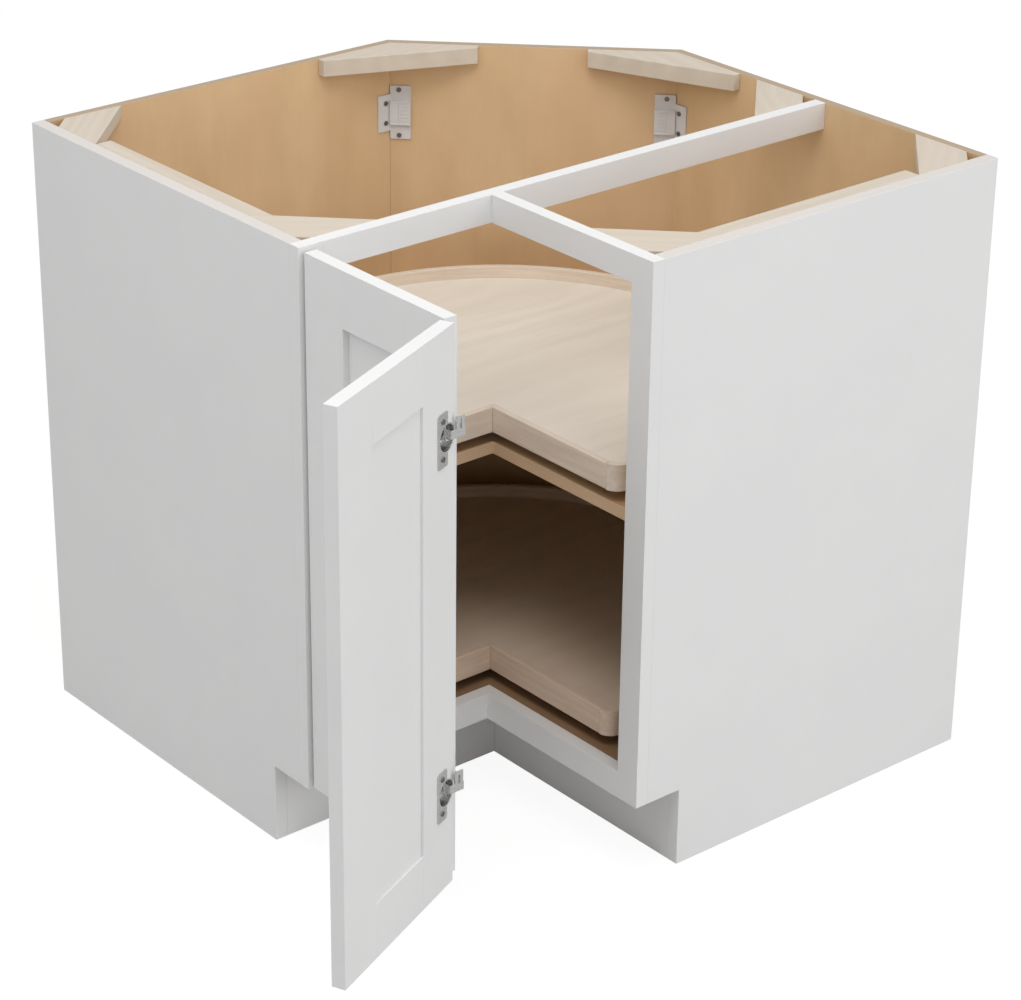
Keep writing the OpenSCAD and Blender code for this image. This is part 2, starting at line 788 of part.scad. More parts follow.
at_upper_tray() tray_board();  // upper_tray_board
at_upper_tray() tray_arc_rim();  // upper_tray_arc_rim
at_upper_tray() left_notch_rim();  // upper_tray_left_notch_rim
at_upper_tray() right_notch_rim();  // upper_tray_right_notch_rim
at_upper_tray() bearing_plate();  // upper_bearing_plate
at_upper_tray() tray_screws();  // upper_tray_screws
at_lower_tray() tray_board();  // lower_tray_board
at_lower_tray() tray_arc_rim();  // lower_tray_arc_rim
at_lower_tray() left_notch_rim();  // lower_tray_left_notch_rim
at_lower_tray() right_notch_rim();  // lower_tray_right_notch_rim
at_lower_tray() bearing_plate();  // lower_bearing_plate
at_lower_tray() tray_screws();  // lower_tray_screws

// ---- Door nodes --------------------------------------------------------------------------

at_first_leaf() first_hinge_stile();  // first_leaf_hinge_stile
at_first_leaf() first_fold_stile();  // first_leaf_fold_stile
at_first_leaf() leaf_top_rail();  // first_leaf_top_rail
at_first_leaf() leaf_bottom_rail();  // first_leaf_bottom_rail
at_first_leaf() leaf_panel();  // first_leaf_panel
at_first_leaf() at_frame_cups() hinge_cup();  // frame_hinge_cups
at_first_leaf() fold_hinge_arms();
first_leaf_screws();
at_second_leaf() second_fold_stile();  // second_leaf_fold_stile
at_second_leaf() leaf_outer_stile();  // second_leaf_free_stile
at_second_leaf() leaf_top_rail();  // second_leaf_top_rail
at_second_leaf() leaf_bottom_rail();  // second_leaf_bottom_rail
at_second_leaf() leaf_panel();  // second_leaf_panel
at_second_leaf() at_fold_cups() hinge_cup();  // fold_hinge_cups
second_leaf_screws();
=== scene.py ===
"""Corner carousel cabinet: eased boards, trays and hinges, and their finishes.

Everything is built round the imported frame, in metres. The frame's origin is the back left corner
on the floor, +X runs along the wall behind the left leg, and +Y points at that wall. Most pieces
are eased copies of the frame's solids. The joint brackets also get ribs that the solids leave
out. Screws, balls and bearing plates keep the frame's own shapes and get a finish.
"""

import json
import logging
import math
import sys
from collections.abc import Callable, Iterator, Sequence
from contextlib import contextmanager
from dataclasses import dataclass, field, replace
from enum import Enum

import bmesh
import bpy
from mathutils import Matrix, Vector

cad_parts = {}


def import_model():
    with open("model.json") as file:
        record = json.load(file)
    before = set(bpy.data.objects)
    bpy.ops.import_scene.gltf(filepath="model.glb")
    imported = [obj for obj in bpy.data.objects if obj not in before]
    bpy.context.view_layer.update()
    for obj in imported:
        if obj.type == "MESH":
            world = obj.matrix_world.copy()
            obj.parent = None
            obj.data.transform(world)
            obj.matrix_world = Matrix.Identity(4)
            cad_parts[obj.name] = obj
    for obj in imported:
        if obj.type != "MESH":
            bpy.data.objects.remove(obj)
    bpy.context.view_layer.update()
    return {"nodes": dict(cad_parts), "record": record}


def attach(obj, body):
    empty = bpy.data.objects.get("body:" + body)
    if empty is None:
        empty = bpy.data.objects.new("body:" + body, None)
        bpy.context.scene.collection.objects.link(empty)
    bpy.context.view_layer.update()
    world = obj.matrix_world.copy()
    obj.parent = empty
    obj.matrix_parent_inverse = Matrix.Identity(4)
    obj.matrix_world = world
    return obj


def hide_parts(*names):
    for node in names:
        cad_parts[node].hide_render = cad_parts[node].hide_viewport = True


LOG = logging.getLogger("cabinet")

Vec = tuple[float, float, float]
Colour = tuple[float, float, float]
Span = tuple[float, float]

HALF = math.sqrt(0.5)
UP: Vec = (0.0, 0.0, 1.0)
EAST: Vec = (1.0, 0.0, 0.0)
NORTH: Vec = (0.0, 1.0, 0.0)
NORTH_EAST: Vec = (HALF, HALF, 0.0)
SOUTH_EAST: Vec = (HALF, -HALF, 0.0)

# Edges that turn further than the first angle are eased, and shading runs smooth below the second.
SHARP_ANGLE = math.radians(28)
SMOOTH_ANGLE = math.radians(40)
# A solid's loose triangles are merged at the first gap and made whole faces below the angle.
MERGE_GAP = 0.00001
FLAT_ANGLE = math.radians(1.0)


class Slot(Enum):
    """Material slots of the record, named with the finishes of the eased pieces."""

    PAINT = "painted_wood"
    PLY = "interior_ply"
    PALE = "pale_wood"
    TRAY = "tray_wood"
    RIM = "tray_rim_wood"
    NICKEL = "hinge_nickel"
    PLASTIC = "bracket_plastic"


class Side(Enum):
    """The cabinet's two legs."""

    LEFT = "left"
    RIGHT = "right"


class Level(Enum):
    """The two trays."""

    UPPER = "upper"
    LOWER = "lower"


class Leaf(Enum):
    """The door's leaves, from the hinged stile outwards."""

    FIRST = "first"
    SECOND = "second"


@dataclass(frozen=True)
class Plan:
    """Main sizes of the cabinet, in metres.

    Attributes:
        wall_side: The cabinet's length along each wall.
        back: The thickness of the back panels.
        cut_inside: How far along the wall the inner face of the diagonal back starts.
        cut_turn: The diagonal back's turn from the left leg's wall.
        tray_axis: How far the trays' axis is from either end panel's outer face.
        tray_r: The trays' outer radius.
    """

    wall_side: float = 0.9144
    back: float = 0.0127
    cut_inside: float = 0.60434
    cut_turn: float = math.radians(-45)
    tray_axis: float = 0.44353
    tray_r: float = 0.36798

    @property
    def placed(self) -> Matrix:
        """The move from plan coordinates to the frame's origin."""
        return Matrix.Translation((0.0, -self.wall_side, 0.0))

    @property
    def mirrored(self) -> Matrix:
        """The move of a left-hand plan piece to its right-hand place."""
        swap = Matrix(((0, 1, 0, 0), (1, 0, 0, 0), (0, 0, 1, 0), (0, 0, 0, 1)))
        return self.placed @ swap

    def side(self, side: Side) -> Matrix:
        """Gives the placing of a left-hand plan piece.

        Args:
            side: The leg that the piece belongs to.

        Returns:
            The matrix from plan coordinates to the frame's.
        """
        return self.placed if side is Side.LEFT else self.mirrored


PLAN = Plan()


# ---- Shader maths ------------------------------------------------------------------------------


class Value:
    """A node socket that Python expressions can work with."""

    def __init__(self, shader: "Shader", socket: bpy.types.NodeSocket) -> None:
        """Wraps a socket.

        Args:
            shader: The shader that the socket belongs to.
            socket: The output socket.
        """
        self.shader = shader
        self.socket = socket

    def math(self, operation: str, *others: "Value | float", first: bool = True) -> "Value":
        """Adds a Math node.

        Args:
            operation: The node's operation.
            others: The other operands.
            first: Whether this value is the first operand.

        Returns:
            The node's result.
        """
        values = (self, *others) if first else (*others, self)
        return self.shader.node(
            "ShaderNodeMath", {"operation": operation}, dict(enumerate(values))
        )

    def __add__(self, other: "Value | float") -> "Value":
        """Adds."""
        return self.math("ADD", other)

    def __radd__(self, other: float) -> "Value":
        """Adds to a number."""
        return self.math("ADD", other)

    def __sub__(self, other: "Value | float") -> "Value":
        """Subtracts."""
        return self.math("SUBTRACT", other)

    def __rsub__(self, other: float) -> "Value":
        """Subtracts from a number."""
        return self.math("SUBTRACT", other, first=False)

    def __mul__(self, other: "Value | float") -> "Value":
        """Multiplies."""
        return self.math("MULTIPLY", other)

    def __rmul__(self, other: float) -> "Value":
        """Multiplies a number."""
        return self.math("MULTIPLY", other)

    def __truediv__(self, other: "Value | float") -> "Value":
        """Divides."""
        return self.math("DIVIDE", other)

    def sine(self) -> "Value":
        """Gives the sine of an angle in radians."""
        return self.math("SINE")

    def size(self) -> "Value":
        """Gives the absolute value."""
        return self.math("ABSOLUTE")

    def fraction(self) -> "Value":
        """Gives the fractional part."""
        return self.math("FRACT")

    def step(self, low: float, high: float) -> "Value":
        """Gives a smooth step.

        Args:
            low: The value that gives 0.
            high: The value that gives 1.

        Returns:
            A number from 0 to 1.
        """
        return self.shader.node(
            "ShaderNodeMapRange",
            {"interpolation_type": "SMOOTHSTEP"},
            {"Value": self, "From Min": low, "From Max": high},
        )


# A vector's parts, or a surface's colour, roughness and height.
Triple = tuple[Value, Value, Value]


class Shader:
    """A material's nodes, with one surface shader."""

    def __init__(self, name: str) -> None:
        """Starts an empty material.

        Args:
            name: The material's name.
        """
        self.material = bpy.data.materials.new(name)
        self.material.use_nodes = True
        self.tree = self.material.node_tree
        self.tree.nodes.clear()
        self.surface = self.tree.nodes.new("ShaderNodeBsdfPrincipled")
        self.output = self.tree.nodes.new("ShaderNodeOutputMaterial")
        self.tree.links.new(self.surface.outputs[0], self.output.inputs["Surface"])

    def node(
        self,
        kind: str,
        settings: dict[str, object] | None = None,
        inputs: dict[int | str, object] | None = None,
        out: int | str = 0,
    ) -> Value:
        """Adds a node.

        Args:
            kind: The node's type.
            settings: Properties of the node, set before its sockets.
            inputs: Values or links of the node's sockets.
            out: The output socket to give back.

        Returns:
            The output socket as a value.
        """
        made = self.tree.nodes.new(kind)
        for key, setting in (settings or {}).items():
            setattr(made, key, setting)
        for key, item in (inputs or {}).items():
            self.feed(made.inputs[key], item)
        return Value(self, made.outputs[out])

    def feed(self, socket: bpy.types.NodeSocket, item: object) -> None:
        """Sets or links an input socket.

        Args:
            socket: The input socket.
            item: A value to link, or a number or tuple to set.
        """
        if isinstance(item, Value):
            self.tree.links.new(item.socket, socket)
        elif isinstance(item, tuple) and socket.type == "RGBA":
            socket.default_value = (*item[:3], 1.0)
        else:
            socket.default_value = item

    def set(self, **inputs: object) -> None:
        """Sets inputs of the surface shader.

        Args:
            inputs: Socket names with underscores for spaces, and their values or links.
        """
        for key, item in inputs.items():
            self.feed(self.surface.inputs[key.replace("_", " ")], item)

    def place(self) -> Value:
        """Gives the object coordinates."""
        return self.node("ShaderNodeTexCoord", out="Object")

    def facing(self) -> Value:
        """Gives the surface's direction in object coordinates."""
        return self.node("ShaderNodeTexCoord", out="Normal")

    def along(self, vector: Value, axis: Vec) -> Value:
        """Gives a vector's length along an axis.

        Args:
            vector: The vector.
            axis: The axis, of unit length.

        Returns:
            The dot product.
        """
        return self.node(
            "ShaderNodeVectorMath", {"operation": "DOT_PRODUCT"}, {0: vector, 1: axis}, "Value"
        )

    def vector(self, *parts: Value | float) -> Value:
        """Joins three numbers.

        Args:
            parts: The vector's X, Y and Z.

        Returns:
            The vector.
        """
        return self.node("ShaderNodeCombineXYZ", inputs=dict(enumerate(parts)))

    def parts(self, vector: Value) -> Triple:
        """Splits a vector.

        Args:
            vector: The vector.

        Returns:
            Its X, Y and Z.
        """
        split = self.node("ShaderNodeSeparateXYZ", inputs={0: vector}).socket.node
        return tuple(Value(self, socket) for socket in split.outputs)

    def noise(self, vector: Value, scale: float = 1.0, detail: float = 3.0) -> Value:
        """Adds smooth noise.

        Args:
            vector: Where the noise is read.
            scale: Its scale.
            detail: Its octaves.

        Returns:
            A number from 0 to 1.
        """
        return self.node(
            "ShaderNodeTexNoise",
            {"noise_dimensions": "3D"},
            {"Vector": vector, "Scale": scale, "Detail": detail, "Roughness": 0.55},
        )

    def drawn_noise(self, lie: Triple, along: float, across: float, detail: float) -> Value:
        """Adds noise that is drawn out along one direction, as fibres are.

        Args:
            lie: The place along the fibres, across them and through the board.
            along: The noise's scale along the fibres.
            across: Its scale in the other two directions.
            detail: Its octaves.

        Returns:
            A number from 0 to 1.
        """
        length, width, through = lie
        stretched = self.vector(length * along, width * across, through * across)
        return self.noise(stretched, detail=detail)

    def mix(self, factor: Value | float, low: Value | Colour, high: Value | Colour) -> Value:
        """Mixes two colours.

        Args:
            factor: The share of the second colour.
            low: The first colour.
            high: The second colour.

        Returns:
            The mixed colour.
        """
        return self.node(
            "ShaderNodeMix", {"data_type": "RGBA"}, {0: factor, 6: low, 7: high}, 2
        )

    def bump(self, height: Value, distance: float, strength: float) -> None:
        """Feeds the surface's normal from a height.

        Args:
            height: The height, from 0 to 1.
            distance: The height in metres of a value of 1.
            strength: The share of the bump that shows.
        """
        normal = self.node(
            "ShaderNodeBump",
            inputs={"Height": height, "Distance": distance, "Strength": strength},
        )
        self.set(Normal=normal)


def tint_colour(colour: Colour, tint_and_shade: Colour) -> Colour:
    """Tints a colour, as for marks on metal and plastic and for the trays' painted light and shade.

    Args:
        colour: The colour.
        tint_and_shade: The share of each of its parts that stays.

    Returns:
        The tinted colour.
    """
    return tuple(part * share for part, share in zip(colour, tint_and_shade))


# ---- Finishes ----------------------------------------------------------------------------------


@dataclass(frozen=True)
class Grain:
    """How the timber of a board lies.

    Attributes:
        length: The direction of the grain.
        width: The direction across the board's face.
        through: The direction through the board.
    """

    length: Vec
    width: Vec
    through: Vec


FLAT_X = Grain(EAST, NORTH, UP)
FLAT_Y = Grain(NORTH, EAST, UP)
FLAT_DIAGONAL = Grain(NORTH_EAST, SOUTH_EAST, UP)
FLAT_CROSS = Grain(SOUTH_EAST, NORTH_EAST, UP)
UPRIGHT_X = Grain(UP, EAST, NORTH)
UPRIGHT_Y = Grain(UP, NORTH, EAST)
UPRIGHT_DIAGONAL = Grain(UP, SOUTH_EAST, NORTH_EAST)


@dataclass(frozen=True)
class Paint:
    """Satin white paint, sprayed on timber.

    Attributes:
        name: The material's name.
        colour: The paint's main colour.
        shade: The colour where the coat is a little thicker.
        edge: The colour of a panel's upper edge, where the timber shows through.
        roughness: The mean roughness.
    """

    name: str = "satin_white_paint"
    colour: Colour = (0.80, 0.80, 0.795)
    shade: Colour = (0.785, 0.785, 0.782)
    edge: Colour = (0.68, 0.635, 0.60)
    roughness: float = 0.42

    def coat(self, shader: Shader) -> Triple:
        """Works out the paint's look.

        Args:
            shader: The shader to add to.

        Returns:
            The colour, the roughness and the height of the spray's texture.
        """
        place = shader.place()
        cloud = shader.noise(place, scale=7.0, detail=4.0)
        peel = shader.noise(place, scale=420.0, detail=2.0)
        colour = shader.mix(cloud.step(0.35, 0.7), self.colour, self.shade)
        rough = self.roughness + (cloud - 0.5) * 0.12
        return colour, rough, peel

    def make(self) -> bpy.types.Material:
        """Makes the material."""
        shader = Shader(self.name)
        colour, rough, peel = self.coat(shader)
        shader.set(Base_Color=colour, Roughness=rough, Coat_Weight=0.08, Coat_Roughness=0.3)
        shader.bump(peel, distance=0.00012, strength=0.35)
        return shader.material


@dataclass(frozen=True)
class Timber:
    """Clear-finished or bare timber with a plain-sawn figure.

    Attributes:
        name: The material's name.
        grain: How the timber lies.
        light: The colour between the growth rings.
        dark: The colour of the rings, streaks and fibres.
        drift: The colour that broad patches drift to.
        figure: The share of the dark colour that all of the figure gives.
        rings: Growth rings in a metre across the face.
        banding: The rings' share of the figure.
        streaking: The streaks' share.
        blotching: The share of cloudy blotches.
        fibre: The fine fibres' share.
        roughness: The mean roughness.
        offset: Where on the pattern the board is cut, along, across and through it.
        sway: How far the rings wander across the face, in metres.
        swirl: How far they are out of step with each other, in rings.
    """

    name: str
    grain: Grain
    light: Colour
    dark: Colour
    drift: Colour
    figure: float = 0.6
    rings: float = 24.0
    banding: float = 0.42
    streaking: float = 0.42
    blotching: float = 0.0
    fibre: float = 0.3
    roughness: float = 0.5
    offset: Vec = (0.0, 0.0, 0.0)
    sway: float = 0.16
    swirl: float = 2.2

    def figure_of(self, shader: Shader, grain: Grain) -> Triple:
        """Works out the timber's figure.

        Args:
            shader: The shader to add to.
            grain: How the timber lies.

        Returns:
            The colour, the roughness and the height of the fibres.
        """
        place = shader.place()
        lie = tuple(
            shader.along(place, way) + shift
            for way, shift in zip((grain.length, grain.width, grain.through), self.offset)
        )
        sway = shader.drawn_noise(lie, along=1.7, across=4.0, detail=2.0)
        swirl = shader.drawn_noise(lie, along=2.6, across=9.0, detail=3.0)
        streaks = shader.drawn_noise(lie, along=2.4, across=70.0, detail=4.0)
        fibres = shader.drawn_noise(lie, along=26.0, across=900.0, detail=2.0)
        clouds = shader.drawn_noise(lie, along=6.0, across=11.0, detail=3.0)
        patches = shader.drawn_noise(lie, along=1.2, across=6.0, detail=2.0)
        arch = (lie[1] + sway * self.sway) * self.rings
        bands = ((arch + swirl * self.swirl) * math.tau).sine() * 0.5 + 0.5
        tone = (
            bands * self.banding
            + streaks.step(0.3, 0.72) * self.streaking
            + fibres.step(0.35, 0.75) * self.fibre
            + clouds.step(0.32, 0.68) * self.blotching
        )
        body = shader.mix(tone * self.figure, self.light, self.dark)
        colour = shader.mix(patches.step(0.42, 0.68) * 0.5, body, self.drift)
        rough = self.roughness + (fibres - 0.5) * 0.18
        height = fibres * 0.6 + streaks * 0.4
        return colour, rough, height

    def make(self) -> bpy.types.Material:
        """Makes the material."""
        shader = Shader(self.name)
        colour, rough, height = self.figure_of(shader, self.grain)
        shader.set(Base_Color=colour, Roughness=rough, Specular_IOR_Level=0.35)
        shader.bump(height, distance=0.0002, strength=0.5)
        return shader.material


@dataclass(frozen=True)
class Plywood:
    """Veneered plywood, with the plies showing on its edges and paint on one face if asked.

    Attributes:
        name: The material's name.
        grain: How the veneer lies.
        face: The veneer.
        edge_light: The colour of every other ply on the edges.
        edge_dark: The colour of the plies between, which show their end grain.
        edge_roughness: The edges' roughness.
        ply_pitch: The thickness of two plies, in metres.
        ply_wander: How far the plies are out of true, in metres.
        paint: The paint of an end panel.
        clear_side: The direction that an end panel's unpainted face looks in.
        raw_edge: The direction that its unpainted edge looks in.
    """

    name: str
    grain: Grain
    face: Timber
    edge_light: Colour = (0.74, 0.62, 0.46)
    edge_dark: Colour = (0.56, 0.43, 0.29)
    edge_roughness: float = 0.72
    ply_pitch: float = 0.0032
    ply_wander: float = 0.0004
    paint: Paint | None = None
    clear_side: Vec = EAST
    raw_edge: Vec = NORTH

    def board(self, shader: Shader) -> Triple:
        """Works out the look of the veneer and the edges.

        Args:
            shader: The shader to add to.

        Returns:
            The colour, the roughness and the height.
        """
        veneer, veneer_rough, fibres = self.face.figure_of(shader, self.grain)
        place = shader.place()
        depth = shader.along(place, self.grain.through)
        wander = shader.noise(place, scale=60.0, detail=2.0)
        ply = ((depth + wander * self.ply_wander) / self.ply_pitch).fraction()
        seam = (ply - 0.5).size().step(0.15, 0.3)
        flecks = shader.noise(place, scale=700.0, detail=2.0)
        edge = shader.mix(seam * 0.7 + flecks * 0.25, self.edge_light, self.edge_dark)
        is_face = shader.along(shader.facing(), self.grain.through).size().step(0.55, 0.8)
        is_edge = 1.0 - is_face
        colour = shader.mix(is_face, edge, veneer)
        rough = is_face * veneer_rough + is_edge * self.edge_roughness
        height = fibres * 0.7 + flecks * is_edge * 0.3
        return colour, rough, height

    def painted(self, shader: Shader, board: Triple) -> Triple:
        """Paints the board, apart from its clear face and its raw edge.

        Args:
            shader: The shader to add to.
            board: The bare board's look.

        Returns:
            The colour, the roughness and the height.
        """
        bare_colour, bare_rough, bare_height = board
        coat, coat_rough, peel = self.paint.coat(shader)
        facing = shader.facing()
        inner = shader.along(facing, self.clear_side)
        bare = inner.math("MAXIMUM", shader.along(facing, self.raw_edge)).step(0.5, 0.75)
        upper = shader.along(facing, UP).step(0.5, 0.85)
        paint = 1.0 - bare
        colour = shader.mix(paint, bare_colour, shader.mix(upper, coat, self.paint.edge))
        rough = paint * coat_rough + bare * bare_rough
        height = paint * peel * 0.3 + bare * bare_height
        return colour, rough, height

    def make(self) -> bpy.types.Material:
        """Makes the material."""
        shader = Shader(self.name)
        look = self.board(shader)
        if self.paint:
            look = self.painted(shader, look)
        colour, rough, height = look
        shader.set(Base_Color=colour, Roughness=rough, Specular_IOR_Level=0.4)
        shader.bump(height, distance=0.0002, strength=0.45)
        return shader.material


@dataclass(frozen=True)
class BentRim:
    """Timber strip along a tray's edge, with its grain along the strip.

    Attributes:
        name: The material's name.
        face_light: The light colour of the strip's faces.
        face_dark: The dark colour of its faces.
        top: The colour of its upper edge.
        curved: Whether the strip runs round the tray's axis.
        grain: How a straight strip lies.
    """

    name: str
    face_light: Colour
    face_dark: Colour
    top: Colour
    curved: bool = True
    grain: Grain = FLAT_X

    def make(self) -> bpy.types.Material:
        """Makes the material."""
        shader = Shader(self.name)
        place = shader.place()
        x, y, height = shader.parts(place)
        if self.curved:
            east = x - PLAN.tray_axis
            north = y - (PLAN.tray_axis - PLAN.wall_side)
            run = north.math("ARCTAN2", east) * PLAN.tray_r
            depth = (east * east + north * north).math("SQRT")
        else:
            run = shader.along(place, self.grain.length)
            depth = shader.along(place, self.grain.width)
        lie = (run, depth, height)
        streaks = shader.drawn_noise(lie, along=9.0, across=160.0, detail=4.0)
        fibres = shader.drawn_noise(lie, along=60.0, across=900.0, detail=2.0)
        blots = shader.drawn_noise(lie, along=5.0, across=30.0, detail=2.0)
        tone = streaks.step(0.3, 0.7) * 0.6 + fibres.step(0.3, 0.8) * 0.35 + blots * 0.3 - 0.1
        side = shader.mix(tone, self.face_light, self.face_dark)
        is_top = shader.along(shader.facing(), UP).step(0.5, 0.85)
        top = shader.mix(streaks.step(0.35, 0.8) * 0.3, self.top, self.face_light)
        shader.set(
            Base_Color=shader.mix(is_top, side, top),
            Roughness=0.5 + (fibres - 0.5) * 0.2,
            Specular_IOR_Level=0.35,
        )
        shader.bump(fibres * 0.5 + streaks * 0.5, distance=0.0003, strength=0.5)
        return shader.material


@dataclass(frozen=True)
class Metal:
    """Plated steel with a fine drawn texture.

    Attributes:
        name: The material's name.
        colour: The plating's colour.
        roughness: The mean roughness.
        drawn: The scale of the drawn lines along X, Y and Z.
        worn: The share of the colour that stays in the lines.
    """

    name: str
    colour: Colour
    roughness: float = 0.3
    drawn: Vec = (60.0, 60.0, 900.0)
    worn: float = 0.82

    def make(self) -> bpy.types.Material:
        """Makes the material."""
        shader = Shader(self.name)
        place = shader.place()
        scaled = shader.node(
            "ShaderNodeVectorMath", {"operation": "MULTIPLY"}, {0: place, 1: self.drawn}
        )
        lines = shader.noise(scaled, detail=3.0)
        cloud = shader.noise(place, scale=90.0, detail=3.0)
        darker = tint_colour(self.colour, (self.worn, self.worn, self.worn))
        shader.set(
            Base_Color=shader.mix(lines * 0.6 + cloud * 0.3, self.colour, darker),
            Metallic=1.0,
            Roughness=self.roughness + (lines - 0.5) * 0.2 + (cloud - 0.5) * 0.12,
        )
        shader.bump(lines, distance=0.00004, strength=0.5)
        return shader.material


@dataclass(frozen=True)
class Moulding:
    """Moulded plastic with a fine matt grain.

    Attributes:
        name: The material's name.
        colour: The plastic's colour.
        flow_mark: The share of the colour that stays in the flow marks.
    """

    name: str
    colour: Colour
    flow_mark: float = 0.93

    def make(self) -> bpy.types.Material:
        """Makes the material."""
        shader = Shader(self.name)
        place = shader.place()
        pebble = shader.noise(place, scale=1100.0, detail=2.0)
        flow = shader.noise(place, scale=40.0, detail=3.0)
        darker = tint_colour(self.colour, (self.flow_mark, self.flow_mark, self.flow_mark))
        shader.set(
            Base_Color=shader.mix(flow.step(0.3, 0.7), self.colour, darker),
            Roughness=0.45 + (flow - 0.5) * 0.2,
        )
        shader.bump(pebble, distance=0.00006, strength=0.5)
        return shader.material


Finish = Paint | Timber | Plywood | BentRim | Metal | Moulding

PAINT = Paint()

# Clear-coated veneer of the end panels and the backs.
HONEY = Timber(
    "honey_maple",
    UPRIGHT_X,
    light=(0.725, 0.52, 0.305),
    dark=(0.59, 0.39, 0.205),
    drift=(0.695, 0.465, 0.27),
    figure=0.75,
    rings=9.0,
    banding=0.10,
    streaking=0.08,
    blotching=0.55,
    fibre=0.10,
    roughness=0.42,
)

# Veneers of the shelf and of the cabinet floor: a copy of the honey veneer darkened with painted
# shade, and the floor's much darker and browner again with painted shadow.
SHADED_DECK = Timber(
    "deck_maple_painted_shade",
    FLAT_X,
    light=(0.56, 0.39, 0.215),
    dark=(0.45, 0.29, 0.145),
    drift=(0.53, 0.34, 0.19),
    figure=0.75,
    rings=9.0,
    banding=0.12,
    streaking=0.18,
    blotching=0.5,
)
SHADOWED_FLOOR = replace(
    SHADED_DECK,
    name="floor_maple_painted_shadow",
    light=(0.30, 0.185, 0.10),
    dark=(0.23, 0.13, 0.068),
    drift=(0.28, 0.165, 0.09),
)

# Bare timber of the corner blocks and cleats.
CREAM = Timber(
    "cream_wood",
    FLAT_X,
    light=(0.66, 0.59, 0.495),
    dark=(0.555, 0.47, 0.375),
    drift=(0.64, 0.555, 0.465),
    figure=0.6,
    rings=45.0,
    roughness=0.6,
)

# Face of the trays' boards.
TRAY_MAPLE = Timber(
    "tray_maple",
    FLAT_X,
    light=(0.84, 0.80, 0.715),
    dark=(0.71, 0.65, 0.56),
    drift=(0.82, 0.755, 0.68),
    figure=0.7,
    rings=16.0,
    banding=0.34,
    streaking=0.26,
    blotching=0.2,
)

BRACKET_PLASTIC = Moulding("bracket_moulding", (0.71, 0.715, 0.725))
NICKEL = Metal("nickel_plate", (0.66, 0.66, 0.65), roughness=0.28)
BEARING_STEEL = Metal(
    "zinc_plate", (0.60, 0.61, 0.62), roughness=0.36, drawn=(90.0, 90.0, 90.0)
)
BALL_STEEL = Metal("ball_polish", (0.75, 0.75, 0.76), roughness=0.12, drawn=(60.0, 60.0, 60.0))
SCREW_STEEL = Metal(
    "screw_plate", (0.25, 0.24, 0.245), roughness=0.38, drawn=(200.0, 200.0, 200.0)
)


# ---- Bench work --------------------------------------------------------------------------------


